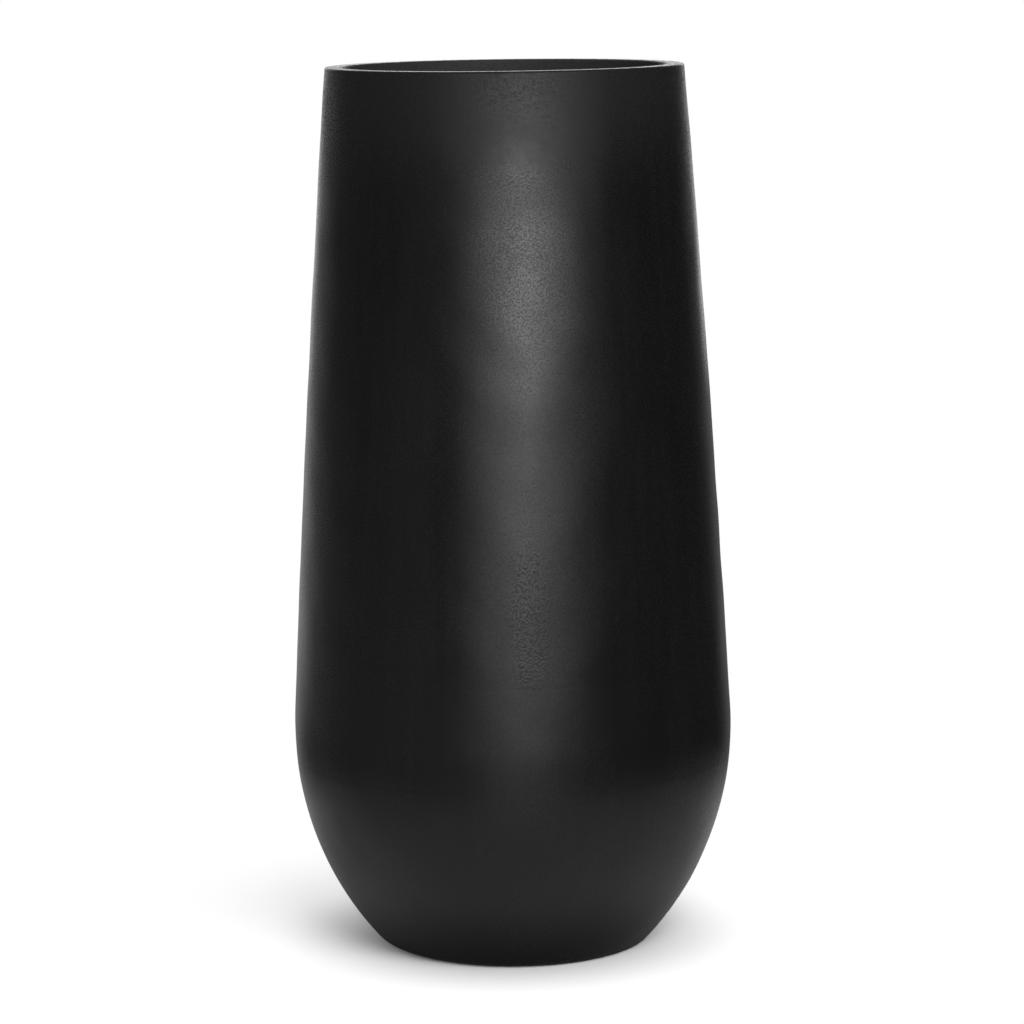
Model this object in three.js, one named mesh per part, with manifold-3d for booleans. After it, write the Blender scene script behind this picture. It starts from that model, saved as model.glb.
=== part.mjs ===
// Tall fibreglass floor planter: a round vessel that swells to its girth low down and
// tapers to a narrower mouth. Lengths are in millimetres and +Z is up. The origin is
// the centre of the foot ring, on the floor.
//
// The widest ring is above the floor and below the mouth, so no single open mould could
// let the vessel go. It is two mouldings, a bowl and a tapered body, that meet in a
// rebated joint, and a band laminated over the joint inside holds them together.

import * as THREE from 'three';
import { mergeVertices } from 'three/addons/utils/BufferGeometryUtils.js';
import Module from 'manifold-3d';

// ---------------------------------------------------------------- driving dimensions

// Outer form
const planterHeight = 1000;     // floor to the top of the lip
const girthRadius = 250;        // the widest ring
const girthHeight = 250;        // height of the widest ring
const heelRadius = 153;         // where the bowl's curve would reach the floor
const bowlDepth = 346;          // upright half-axis of the bowl's ellipse
const bowlRise = 20;            // how far the bowl's curve runs on above the girth
const mouthRadius = 201.5;      // outside of the lip
const footEdgeRadius = 15;      // rounding between the bowl and the floor

// Laminate
const wallThickness = 5;        // both mouldings
const innerCornerRadius = 26;   // rounding between the wall and the floor inside
const bondGap = 0.3;            // resin line between two bonded pieces

// Lip, turned inwards and down at the mouth
const lipWidth = 20;            // flat top, from outside to inside
const lipThickness = 6;
const lipDrop = 25;             // depth of the turned-down flange
const flangeThickness = 4.5;
const flangeDraft = 0.9;        // the flange's face leans in by this at its lower end
const lipEdgeRadius = 2.2;      // rounding of the lip's edges
const coreRecess = 3;           // the core's underside, above the flange's end

// Rebated joint between the mouldings, and the band inside it
const seamHeight = 219;
const lapLength = 14;           // overlap of the two half-walls
const bandHeight = 110;
const bandThickness = 3;
const bandFeather = 12;         // each edge of the band thins out over this height
const bandEdge = 1;             // thickness that is left at the edge

// Underside, floor and drain
const footRingWidth = 25;       // flat that the planter stands on
const recessHeight = 3;         // underside inside the foot ring, above the floor
const pocketFloor = 5;          // laminate above the plug's pocket
const drainRadius = 14;
const boardThickness = 9;       // stiffening board bonded to the floor inside
const boardMargin = 5;          // flat floor left round the board
const boardChamfer = 3;

// Rubber plug, pushed up into the drain from below
const plugHeadThickness = 3.4;
const plugHeadOverlap = 9;      // head radius beyond the drain
const plugHeadAbove = 2.3;      // the head's underside, above the floor
const plugHeadEdge = 1.1;       // bevel of the head's edges
const pocketSpace = 4;          // finger space round the head
const plugClearance = 0.3;      // sealing ribs to the drain's wall
const plugSeatGap = 0.3;        // head to the pocket's face
const plugRibDepth = 1;
const plugRibCount = 3;
const plugGrooveShare = 0.35;   // of a rib's pitch, the groove below it
const plugRiseShare = 0.2;      // of a rib's pitch, the slope up to its crest
const plugCrestShare = 0.25;    // of a rib's pitch, its crest
const plugNose = 5;             // the plug ends this far above the board
const plugNoseRadius = 4;
const plugCoreRadius = 8;       // blind hole that lets the plug squeeze
const plugTip = 6;              // solid rubber above the blind hole
const pullBarWidth = 4;
const pullBarDepth = 3;
const pullBarRecess = 0.6;      // the bar's underside, above the head's
const pullBarBite = 0.5;        // each end runs this far into the plug's wall

// Facets
const roundSegments = 64;
const plugSegments = 32;
const bowlRingSpacing = 26;
const taperRingSpacing = 75;
const leastRingSpacing = 1;

// ---------------------------------------------------------------- derived dimensions

const pocketCeiling = plugHeadAbove + plugHeadThickness + plugSeatGap;
const pocketRadius = drainRadius + plugHeadOverlap + pocketSpace;
const floorTop = pocketCeiling + pocketFloor;
const boardTop = floorTop + bondGap + boardThickness;
const halfLap = wallThickness / 2;
const seamTop = seamHeight + lapLength;
const bandBottom = seamHeight + (lapLength - bandHeight) / 2;
const bandTop = bandBottom + bandHeight;
const lipInnerRadius = mouthRadius - lipWidth;
const lipUnderside = planterHeight - lipThickness;
const flangeEnd = planterHeight - lipDrop;
const taperStart = girthHeight + bowlRise;

// ---------------------------------------------------------------- outer form

// The bowl is part of an ellipse whose upright half-axis is bowlDepth. Its other
// half-axis follows from the girth and from the heel at floor level.
const heelCosine = Math.sqrt(1 - (girthHeight / bowlDepth) ** 2);
const bowlReach = (girthRadius - heelRadius) / (1 - heelCosine);

function bowlRadius(height) {
  const drop = (girthHeight - height) / bowlDepth;
  return girthRadius - bowlReach * (1 - Math.sqrt(1 - drop ** 2));
}

function bowlSlope(height) {
  const drop = (girthHeight - height) / bowlDepth;
  return (bowlReach / bowlDepth) * drop / Math.sqrt(1 - drop ** 2);
}

// Above the bowl the wall leaves along the bowl's own tangent and is a parabola that
// reaches the mouth at the foot of the lip's rounding.
const taperEnd = planterHeight - lipEdgeRadius;
const taperBase = bowlRadius(taperStart);
const taperSlope = bowlSlope(taperStart);
const taperRun = taperEnd - taperStart;
const taperCurve = (mouthRadius - taperBase - taperSlope * taperRun) / taperRun ** 2;

function formRadius(height) {
  if (height < taperStart) return bowlRadius(height);
  const rise = height - taperStart;
  return taperBase + taperSlope * rise + taperCurve * rise ** 2;
}

function formSlope(height) {
  if (height < taperStart) return bowlSlope(height);
  return taperSlope + 2 * taperCurve * (height - taperStart);
}

// The point that lies a given depth inside the outer form, square to its surface.
function pointAtDepth(height, depth) {
  const slope = formSlope(height);
  const scale = depth / Math.hypot(1, slope);
  return new THREE.Vector2(formRadius(height) - scale, height + scale * slope);
}

// The height on the outer form whose point at this depth is level with z.
function formHeightFor(z, depth) {
  let low = z - depth;
  let high = z + depth;
  for (let step = 0; step < 50; step += 1) {
    const middle = (low + high) / 2;
    if (pointAtDepth(middle, depth).y < z) low = middle;
    else high = middle;
  }
  return (low + high) / 2;
}

// The rounding between a level floor and the wall at one depth, tangent to both.
function floorCorner(floorZ, depth, radius) {
  const height = formHeightFor(floorZ + radius, depth + radius);
  return {
    height,
    centre: pointAtDepth(height, depth + radius),
    wallAngle: Math.atan2(-formSlope(height), 1),
  };
}

const footCorner = floorCorner(0, 0, footEdgeRadius);
const innerCorner = floorCorner(floorTop, wallThickness, innerCornerRadius);
const footInnerRadius = footCorner.centre.x - footRingWidth;

// ---------------------------------------------------------------- rings of the wall

// Every surface of the wall has its rings at the same heights on the outer form, so
// pieces that lie against each other stay parallel between their rings.
const keyHeights = [
  footCorner.height,
  innerCorner.height,
  bandBottom,
  seamHeight,
  seamTop,
  bandTop,
  taperStart,
  taperEnd,
].sort((first, second) => first - second);

function ringHeights() {
  const rings = [keyHeights[0]];
  for (const next of keyHeights.slice(1)) {
    const last = rings[rings.length - 1];
    if (next - last < leastRingSpacing) continue;
    const spacing = last < taperStart ? bowlRingSpacing : taperRingSpacing;
    const count = Math.ceil((next - last) / spacing);
    for (let ring = 1; ring <= count; ring += 1) {
      rings.push(last + (next - last) * ring / count);
    }
  }
  return rings;
}

const wallRings = ringHeights();

// Points along the wall at one depth, from one height on the outer form to another.
function wallLine(from, to, depth) {
  const low = Math.min(from, to) + leastRingSpacing;
  const high = Math.max(from, to) - leastRingSpacing;
  const between = wallRings.filter((height) => height > low && height < high);
  if (from > to) between.reverse();
  return [from, ...between, to].map((height) => pointAtDepth(height, depth));
}

// Points on an arc about a centre. Angles are in radians from the +r direction.
function arc(centre, radius, fromAngle, toAngle, steps) {
  const curve = new THREE.EllipseCurve(
    centre.x, centre.y, radius, radius, fromAngle, toAngle, toAngle < fromAngle);
  return curve.getPoints(steps);
}

// ---------------------------------------------------------------- solids

const wasm = await Module();
wasm.setup();

// A closed solid keeps only positions, with shared corners merged.
function mergedMesh(geometry) {
  const bare = geometry.clone();
  bare.deleteAttribute('normal');
  bare.deleteAttribute('uv');
  return mergeVertices(bare, 1e-4);
}

function toManifold(geometry) {
  const merged = mergedMesh(geometry);
  return new wasm.Manifold(new wasm.Mesh({
    numProp: 3,
    vertProperties: Float32Array.from(merged.attributes.position.array),
    triVerts: Uint32Array.from(merged.index.array),
  }));
}

function fromManifold(manifold) {
  const mesh = manifold.getMesh();
  const geometry = new THREE.BufferGeometry();
  const positions = Float32Array.from(mesh.vertProperties);
  geometry.setAttribute('position', new THREE.BufferAttribute(positions, 3));
  geometry.setIndex(new THREE.BufferAttribute(Uint32Array.from(mesh.triVerts), 1));
  geometry.computeVertexNormals();
  return geometry;
}

// Revolves a profile of (radius, height) points about the Z axis. The profile runs
// outwards along the underside, up the outside and back down the inside.
function revolve(profile, segments = roundSegments) {
  const geometry = new THREE.LatheGeometry(profile, segments);
  geometry.rotateX(Math.PI / 2);
  return geometry;
}

function closed(profile) {
  return [...profile, profile[0].clone()];
}

function at(radius, height) {
  return new THREE.Vector2(radius, height);
}

// ---------------------------------------------------------------- sub-parts

// Bowl moulding: floor, foot ring, plug pocket and the tongue of the rebated joint.
function lowerShell() {
  const underside = [
    at(drainRadius, pocketCeiling),
    at(pocketRadius, pocketCeiling),
    at(pocketRadius, recessHeight),
    at(footInnerRadius - recessHeight, recessHeight),
    at(footInnerRadius, 0),
  ];
  const { centre: foot, wallAngle: footAngle } = footCorner;
  const outside = [
    ...arc(foot, footEdgeRadius, -Math.PI / 2, footAngle, 5).slice(0, -1),
    ...wallLine(footCorner.height, seamHeight, 0),
  ];
  const tongue = wallLine(seamHeight, seamTop, halfLap + bondGap / 2);
  const { centre: corner, wallAngle: cornerAngle } = innerCorner;
  const inside = [
    ...wallLine(seamTop, innerCorner.height, wallThickness),
    ...arc(corner, innerCornerRadius, cornerAngle, -Math.PI / 2, 5).slice(1),
    at(drainRadius, floorTop),
  ];
  return revolve(closed([...underside, ...outside, ...tongue, ...inside]));
}

// Body moulding: the tapered wall, the groove of the joint and the turned-in lip.
function upperShell() {
  const outside = wallLine(seamHeight + bondGap, taperEnd, 0);
  const flangeBack = lipInnerRadius + flangeThickness;
  const outerEdge = at(mouthRadius - lipEdgeRadius, taperEnd);
  const innerEdge = at(lipInnerRadius + lipEdgeRadius, taperEnd);
  const lip = [
    ...arc(outerEdge, lipEdgeRadius, 0, Math.PI / 2, 3).slice(1),
    ...arc(innerEdge, lipEdgeRadius, Math.PI / 2, Math.PI, 3),
    at(lipInnerRadius - flangeDraft, flangeEnd),
    at(flangeBack, flangeEnd),
    at(flangeBack, lipUnderside),
  ];
  const grooveTop = seamTop + bondGap;
  const insideTop = formHeightFor(lipUnderside, wallThickness);
  const inside = wallLine(insideTop, grooveTop, wallThickness);
  const groove = wallLine(grooveTop, seamHeight + bondGap, halfLap - bondGap / 2);
  return revolve(closed([...outside, ...lip, ...inside, ...groove]));
}

// Band of laminate over the joint inside, feathered at both edges.
function jointBand() {
  const back = wallThickness + bondGap;
  return revolve(closed([
    ...wallLine(bandBottom, bandTop, back),
    pointAtDepth(bandTop, back + bandEdge),
    ...wallLine(bandTop - bandFeather, bandBottom + bandFeather, back + bandThickness),
    pointAtDepth(bandBottom, back + bandEdge),
  ]));
}

// Stiffening ring in the hollow of the lip.
function rimCore() {
  const bottom = flangeEnd + coreRecess;
  const top = lipUnderside - bondGap;
  const depth = wallThickness + bondGap;
  const innerRadius = lipInnerRadius + flangeThickness + bondGap;
  return revolve(closed([
    at(innerRadius, bottom),
    pointAtDepth(formHeightFor(bottom, depth), depth),
    pointAtDepth(formHeightFor(top, depth), depth),
    at(innerRadius, top),
  ]));
}

// Board bonded to the floor inside. The drain is drilled through both.
function baseBoard() {
  const bottom = floorTop + bondGap;
  const radius = innerCorner.centre.x - boardMargin;
  return revolve(closed([
    at(drainRadius, bottom),
    at(radius, bottom),
    at(radius, boardTop - boardChamfer),
    at(radius - boardChamfer, boardTop),
    at(drainRadius, boardTop),
  ]));
}

// The plug's ribbed side, from the head up to the nose.
function plugRibs(fromZ, toZ) {
  const ribRadius = drainRadius - plugClearance;
  const grooveRadius = ribRadius - plugRibDepth;
  const pitch = (toZ - fromZ) / plugRibCount;
  const points = [];
  for (let rib = 0; rib < plugRibCount; rib += 1) {
    const start = fromZ + rib * pitch;
    const rise = start + pitch * plugGrooveShare;
    const crest = rise + pitch * plugRiseShare;
    points.push(
      at(grooveRadius, start),
      at(grooveRadius, rise),
      at(ribRadius, crest),
      at(ribRadius, crest + pitch * plugCrestShare),
    );
  }
  return points;
}

// Rubber plug: a round head, a ribbed shank with a blind hole, and a bar to pull it by.
function drainPlug() {
  const headTop = pocketCeiling - plugSeatGap;
  const headRadius = drainRadius + plugHeadOverlap;
  const tip = boardTop + plugNose;
  const noseCentre = at(drainRadius - plugClearance - plugNoseRadius, tip - plugNoseRadius);
  const body = toManifold(revolve([
    at(0, tip - plugTip),
    at(plugCoreRadius, tip - plugTip),
    at(plugCoreRadius, plugHeadAbove),
    at(headRadius - plugHeadEdge, plugHeadAbove),
    at(headRadius, plugHeadAbove + plugHeadEdge),
    at(headRadius, headTop - plugHeadEdge),
    at(headRadius - plugHeadEdge, headTop),
    ...plugRibs(headTop, noseCentre.y),
    ...arc(noseCentre, plugNoseRadius, 0, Math.PI / 2, 4),
    at(0, tip),
  ], plugSegments));
  const barLength = 2 * (plugCoreRadius + pullBarBite);
  const bar = new THREE.BoxGeometry(barLength, pullBarWidth, pullBarDepth);
  bar.translate(0, 0, plugHeadAbove + pullBarRecess + pullBarDepth / 2);
  return fromManifold(body.add(toManifold(bar)));
}

// ---------------------------------------------------------------- materials

const blackFinish = { color: 0x1c1c1d, roughness: 0.55, metalness: 0 };
const bareLaminate = { color: 0x2b2b2a, roughness: 0.75, metalness: 0 };
const rigidFoam = { color: 0xa59a78, roughness: 0.9, metalness: 0 };
const coatedBoard = { color: 0x353330, roughness: 0.8, metalness: 0 };
const blackRubber = { color: 0x161616, roughness: 0.65, metalness: 0 };

function part(name, geometry, finish) {
  const mesh = new THREE.Mesh(geometry, new THREE.MeshStandardMaterial(finish));
  mesh.name = name;
  return mesh;
}

// ---------------------------------------------------------------- assembly

const planter = new THREE.Group();
planter.add(
  part('upper_shell', upperShell(), blackFinish),
  part('lower_shell', lowerShell(), blackFinish),
  part('joint_band', jointBand(), bareLaminate),
  part('rim_core', rimCore(), rigidFoam),
  part('base_board', baseBoard(), coatedBoard),
  part('drain_plug', drainPlug(), blackRubber),
);

export default planter;
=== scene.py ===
"""Looks of a tall fibreglass floor planter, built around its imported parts.

Lengths are in metres, +Z is up, and the origin is the middle of the foot on the floor.
Every new piece is a surface of two parameters: the azimuth round the upright axis and the
place along an outline of (radius, height) points. The vessel is two mouldings that meet in
a rebated joint, with a laminated band over the joint, a foam ring in the turned-in lip, a
board on the floor and a rubber plug in the drain.
"""

import logging
import math
from dataclasses import dataclass, field
from enum import Enum

import bpy
import numpy as np
from mathutils import Matrix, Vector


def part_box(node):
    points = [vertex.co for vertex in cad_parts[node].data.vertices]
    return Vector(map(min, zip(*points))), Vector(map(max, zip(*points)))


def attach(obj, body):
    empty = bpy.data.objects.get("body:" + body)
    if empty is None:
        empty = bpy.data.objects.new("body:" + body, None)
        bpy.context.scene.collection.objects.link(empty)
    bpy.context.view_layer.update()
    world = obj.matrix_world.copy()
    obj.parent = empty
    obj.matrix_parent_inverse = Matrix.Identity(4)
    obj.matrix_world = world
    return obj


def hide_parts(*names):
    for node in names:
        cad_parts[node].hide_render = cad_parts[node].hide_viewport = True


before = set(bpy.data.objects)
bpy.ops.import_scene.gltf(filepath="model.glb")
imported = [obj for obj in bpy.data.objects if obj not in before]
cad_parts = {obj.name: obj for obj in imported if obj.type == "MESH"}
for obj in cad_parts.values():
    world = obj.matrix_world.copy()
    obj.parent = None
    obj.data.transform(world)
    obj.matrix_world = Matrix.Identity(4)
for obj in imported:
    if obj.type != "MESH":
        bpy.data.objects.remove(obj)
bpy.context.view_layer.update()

log = logging.getLogger("planter")

WALL_UV = "wall_metres"
MM = 0.001

Socket = bpy.types.NodeSocket


class Body(Enum):
    """The bodies that pieces ride on."""

    VESSEL = "vessel"
    PLUG = "plug"


class Slot(Enum):
    """The record's material slots."""

    SHELL = "shell_finish"
    LAMINATE = "bare_laminate"
    FOAM = "foam_core"
    BOARD = "board_coat"
    RUBBER = "plug_rubber"


class Ends(Enum):
    """How an outline ends: joined to its own start, or on the axis at both ends."""

    LOOP = "loop"
    AXIS = "axis"


class Side(Enum):
    """Which of a shell's two finishes a stretch of its outline wears."""

    FINISHED = 0
    BARE = 1


# ---------------------------------------------------------------- outlines and surfaces


@dataclass(frozen=True)
class Stretch:
    """A stretch of an outline: rows of radii and heights, and the finish that it wears.

    radius and height are (rows, 1) where the stretch is the same all round, or
    (rows, columns) where it changes with the azimuth.
    """

    radius: np.ndarray
    height: np.ndarray
    side: Side = Side.FINISHED


def linked(name: str, data: bpy.types.ID) -> bpy.types.Object:
    """Makes an object of its data at the origin, in the scene."""
    thing = bpy.data.objects.new(name, data)
    bpy.context.scene.collection.objects.link(thing)
    return thing


def column(values: np.ndarray | list | tuple) -> np.ndarray:
    """Stands a row of numbers up as a column, so that it spreads over all azimuths."""
    return np.asarray(values, float).reshape(-1, 1)


def smooth_step(low: float, high: float, values: np.ndarray) -> np.ndarray:
    """Rises from 0 at low to 1 at high: 3t^2 - 2t^3 of the clipped share t."""
    share = np.clip((values - low) / (high - low), 0, 1)
    return share * share * (3 - 2 * share)


def arc(centre: tuple, radius: float, start: float, end: float, steps: int) -> tuple:
    """Points on an arc, both ends included: centre + radius (cos a, sin a).

    Args:
        centre: radius and height of the arc's centre, as numbers or as a row each.
        radius: the arc's radius, a number or a row.
        start: first angle in radians from the outward direction, a number or a row.
        end: last angle.
        steps: pieces that the arc is cut into.

    Returns:
        The radii and the heights, each with one row per point.
    """
    share = column(np.linspace(0, 1, steps + 1))
    angle = start + (end - start) * share
    return centre[0] + radius * np.cos(angle), centre[1] + radius * np.sin(angle)


def rounded(corners: list[tuple[float, float, float]], steps: int = 5) -> tuple:
    """An outline through corners, each rounded by an arc tangent to both its sides.

    A corner between unit directions u and v towards its neighbours, with the angle w
    between them, is cut back by radius / tan(w / 2) along both. The arc is the unit
    circle's swing from one tangent point to the other about the centre, which lies on
    u + v at radius / sin(w / 2).

    Args:
        corners: (radius, height, rounding) of each corner. The ends aren't rounded.
        steps: pieces that each arc is cut into.

    Returns:
        The radii and the heights as columns.
    """
    points = [np.array(corners[0][:2])]
    for before, corner, after in zip(corners, corners[1:], corners[2:]):
        here = np.array(corner[:2])
        if corner[2] <= 0:
            points.append(here)
            continue
        back = np.array(before[:2]) - here
        on = np.array(after[:2]) - here
        back, on = back / np.linalg.norm(back), on / np.linalg.norm(on)
        half = math.acos(np.clip(back @ on, -1, 1)) / 2
        middle = (back + on) / np.linalg.norm(back + on)
        centre = here + middle * corner[2] / math.sin(half)
        cut = corner[2] / math.tan(half)
        first, last = here + back * cut - centre, here + on * cut - centre
        share = column(np.linspace(0, 1, steps + 1))
        sweep = math.pi - 2 * half
        blend = np.sin((1 - share) * sweep) * first + np.sin(share * sweep) * last
        points.extend(centre + blend / math.sin(sweep))
    points.append(np.array(corners[-1][:2]))
    outline = np.array(points)
    return column(outline[:, 0]), column(outline[:, 1])


def grid_faces(rows: int, columns: int, ends: Ends) -> tuple[np.ndarray, np.ndarray]:
    """Faces of a grid of rings that wraps round the axis, with their outside facing out.

    Going round and then along the outline is right-handed about the outward direction
    while the outline runs up the outside and back down the inside.

    Args:
        rows: rings of the grid.
        columns: points on a ring.
        ends: LOOP also joins the last ring to the first.

    Returns:
        Corner numbers (faces, 4), and for each corner its ring and its column before
        wrapping (faces, 4, 2), for the UV map.
    """
    spans = rows if ends is Ends.LOOP else rows - 1
    ring, place = np.meshgrid(np.arange(spans), np.arange(columns), indexing="ij")
    steps = np.array([(0, 0), (0, 1), (1, 1), (1, 0)])
    places = np.stack([ring, place], axis=-1)[:, :, None, :] + steps
    places = places.reshape(-1, 4, 2)
    corners = (places[..., 0] % rows) * columns + places[..., 1] % columns
    return corners, places


def build_piece(name: str, points: np.ndarray, ends: Ends, finishes: np.ndarray,
                sharp_from: float = 32.0) -> bpy.types.Object:
    """Makes an object from a grid of rings.

    Args:
        name: the piece's name.
        points: (rows, columns, 3). With Ends.AXIS the first and last ring are left out
            and a point on the axis, at that ring's mean height, closes each end.
        ends: how the outline ends.
        finishes: material number of each row.
        sharp_from: edges that turn by more than this many degrees stay sharp.

    Returns:
        The object, at the origin, with smooth shading and a UV map in metres: round the
        axis at the widest ring, and along the outline.
    """
    lengths = np.linalg.norm(np.diff(points, axis=0, append=points[:1]), axis=2).mean(1)
    along = np.concatenate([[0], np.cumsum(lengths)])
    poles = np.zeros((0, 3))
    if ends is Ends.AXIS:
        poles = np.stack([points[0].mean(0), points[-1].mean(0)])
        points, finishes, along = points[1:-1], finishes[1:-1], along[1:-1]
    rows, columns = points.shape[:2]
    corners, places = grid_faces(rows, columns, ends)
    reach = float(np.linalg.norm(points[..., :2], axis=2).max())
    turn = places[..., 1] * (2 * np.pi * reach / columns)
    uv = np.stack([turn, along[places[..., 0]]], axis=-1).reshape(-1, 2)
    numbers = finishes[places[:, 0, 0]]
    faces = corners.tolist()
    if ends is Ends.AXIS:
        place = np.arange(columns)
        after = (place + 1) % columns
        base = (rows - 1) * columns
        first = np.full(columns, rows * columns)
        caps = np.concatenate([
            np.stack([first, after, place], axis=1),
            np.stack([base + place, base + after, first + 1], axis=1),
        ])
        faces += caps.tolist()
        spare = np.zeros((caps.size, 2))
        spare[:, 0] = points[0, 0, 0]
        uv = np.concatenate([uv, spare])
        numbers = np.concatenate([numbers, np.full(len(caps), finishes[0])])
    mesh = bpy.data.meshes.new(name)
    mesh.from_pydata(np.concatenate([points.reshape(-1, 3), poles]).tolist(), [], faces)
    mesh.uv_layers.new(name=WALL_UV).data.foreach_set("uv", uv.astype(np.float32).ravel())
    mesh.polygons.foreach_set("material_index", numbers.astype(np.int32))
    mesh.shade_smooth()
    mesh.set_sharp_from_angle(angle=math.radians(sharp_from))
    mesh.validate()
    return linked(name, mesh)


def rings(stretches: list[Stretch], columns: int) -> tuple[np.ndarray, np.ndarray, np.ndarray]:
    """Lays an outline's stretches end to end and carries them round the axis.

    Args:
        stretches: the outline, in order.
        columns: azimuths.

    Returns:
        Radii and heights, both (rows, columns), and each row's finish number.
    """
    radius = [np.broadcast_to(s.radius, (len(s.radius), columns)) for s in stretches]
    height = [np.broadcast_to(s.height, (len(s.height), columns)) for s in stretches]
    finish = [np.full(len(s.radius), s.side.value) for s in stretches]
    return np.concatenate(radius), np.concatenate(height), np.concatenate(finish)


def azimuths(columns: int) -> np.ndarray:
    """Equal steps round the axis, from +X towards +Y, without the closing one."""
    return np.arange(columns) * (2 * np.pi / columns)


def turned(radius: np.ndarray, height: np.ndarray) -> np.ndarray:
    """Points of rings: (radius cos a, radius sin a, height) at each azimuth a."""
    azimuth = azimuths(radius.shape[1])
    x, y = radius * np.cos(azimuth), radius * np.sin(azimuth)
    return np.stack([x, y, height], axis=-1)


# ---------------------------------------------------------------- form of the vessel


@dataclass(frozen=True)
class Form:
    """The vessel's outer form: a radius for each height.

    The bowl is part of an ellipse about the girth. A little above the girth the wall
    leaves on the ellipse's tangent as a parabola that ends at the foot of the lip.
    """

    planter_height: float
    girth_radius: float
    girth_height: float = 250 * MM
    heel_radius: float = 153 * MM
    bowl_depth: float = 346 * MM
    bowl_rise: float = 20 * MM
    mouth_radius: float = 201.5 * MM
    lip_edge: float = 2.2 * MM
    steepest: float = 0.999
    halvings: int = 50

    @property
    def bowl_reach(self) -> float:
        """The ellipse's level half-axis, from the girth and the heel at floor level."""
        drop = self.girth_height / self.bowl_depth
        return (self.girth_radius - self.heel_radius) / (1 - math.sqrt(1 - drop**2))

    @property
    def taper_start(self) -> float:
        """Where the ellipse gives way to the parabola."""
        return self.girth_height + self.bowl_rise

    @property
    def taper_end(self) -> float:
        """The foot of the lip's outer rounding."""
        return self.planter_height - self.lip_edge

    def bowl(self, height: np.ndarray) -> tuple[np.ndarray, np.ndarray]:
        """Radius and slope of the ellipse: girth - reach (1 - sqrt(1 - drop^2))."""
        drop = (self.girth_height - height) / self.bowl_depth
        root = np.sqrt(1 - np.clip(drop, -self.steepest, self.steepest) ** 2)
        radius = self.girth_radius - self.bowl_reach * (1 - root)
        return radius, self.bowl_reach / self.bowl_depth * drop / root

    def at(self, height: np.ndarray) -> tuple[np.ndarray, np.ndarray]:
        """Radius and slope of the outer form: the ellipse, then start + slope s + c s^2."""
        radius, slope = self.bowl(height)
        start, lean = self.bowl(np.array(self.taper_start))
        run = self.taper_end - self.taper_start
        bend = (self.mouth_radius - start - lean * run) / run**2
        rise = height - self.taper_start
        taper = rise > 0
        return (np.where(taper, start + lean * rise + bend * rise**2, radius),
                np.where(taper, lean + 2 * bend * rise, slope))

    def inside(self, height: np.ndarray, depth: np.ndarray | float) -> tuple:
        """Radius and height of the point a depth inside the form, square to its surface."""
        radius, slope = self.at(height)
        scale = depth / np.sqrt(1 + slope**2)
        return radius - scale, height + scale * slope

    def height_for(self, level: np.ndarray, depth: np.ndarray) -> np.ndarray:
        """The height on the form whose point at this depth is level, by halving steps."""
        low, high = level - depth, level + depth
        for _ in range(self.halvings):
            middle = (low + high) / 2
            below = self.inside(middle, depth)[1] < level
            low, high = np.where(below, middle, low), np.where(below, high, middle)
        return (low + high) / 2

    def wall(self, start: np.ndarray | float, end: np.ndarray | float,
             depth: float, spacing: float, side: Side = Side.FINISHED) -> Stretch:
        """The wall at one depth, from one height on the form to another.

        Args:
            start: first height, a number or a row with one height per azimuth.
            end: last height.
            depth: how far inside the outer form.
            spacing: largest step between rows.
            side: the finish.

        Returns:
            The stretch, both ends included.
        """
        run = np.asarray(end) - start
        count = int(np.max(np.abs(run)) / spacing) + 2
        height = start + run * column(np.linspace(0, 1, count))
        return Stretch(*self.inside(height, depth), side)

    def floor_corner(self, floor: float, depth: float, radius: np.ndarray) -> tuple:
        """The rounding between a level floor and the wall at one depth.

        Args:
            floor: the floor's height.
            depth: the wall's depth inside the form.
            radius: the rounding, a number or a row.

        Returns:
            The height on the form where the rounding meets the wall, the arc's centre,
            and the arc's angle there.
        """
        reach = radius + depth
        height = self.height_for(floor + radius, reach)
        angle = np.arctan2(-self.at(height)[1], 1)
        return height, self.inside(height, reach), angle


@dataclass(frozen=True)
class HandWaves:
    """The slight waves of a wall laid up and rubbed down by hand.

    The offset is a sum of plane waves through space, each with its own direction, length
    and phase, so both mouldings carry on the same waves across their joint.
    """

    amplitude: float = 0.17 * MM
    shortest: float = 55 * MM
    longest: float = 120 * MM
    count: int = 28
    seed: int = 11
    rise_from: float = 20 * MM
    rise_to: float = 70 * MM
    fall_from: float = 960 * MM
    fall_to: float = 996 * MM

    def offset(self, points: np.ndarray) -> np.ndarray:
        """The wall's offset at each point: amplitude sqrt(2 / count) sum sin(k.p + phase).

        Args:
            points: (..., 3).

        Returns:
            Metres outwards, fading out at the foot and at the lip.
        """
        rng = np.random.default_rng(self.seed)
        direction = rng.normal(size=(self.count, 3))
        direction /= np.linalg.norm(direction, axis=1, keepdims=True)
        length = rng.uniform(self.shortest, self.longest, (self.count, 1))
        waves = direction * (2 * np.pi / length)
        phase = rng.uniform(0, 2 * np.pi, self.count)
        total = np.sin(points @ waves.T + phase).sum(-1)
        level = points[..., 2]
        fade = smooth_step(self.rise_from, self.rise_to, level)
        fade = fade * (1 - smooth_step(self.fall_from, self.fall_to, level))
        return self.amplitude * math.sqrt(2 / self.count) * total * fade

    def moved(self, points: np.ndarray) -> np.ndarray:
        """The points moved level and away from the axis by the offset."""
        outward = points[..., :2] / np.linalg.norm(points[..., :2], axis=-1, keepdims=True)
        result = points.copy()
        result[..., :2] += outward * self.offset(points)[..., None]
        return result


# ---------------------------------------------------------------- node wiring


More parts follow.
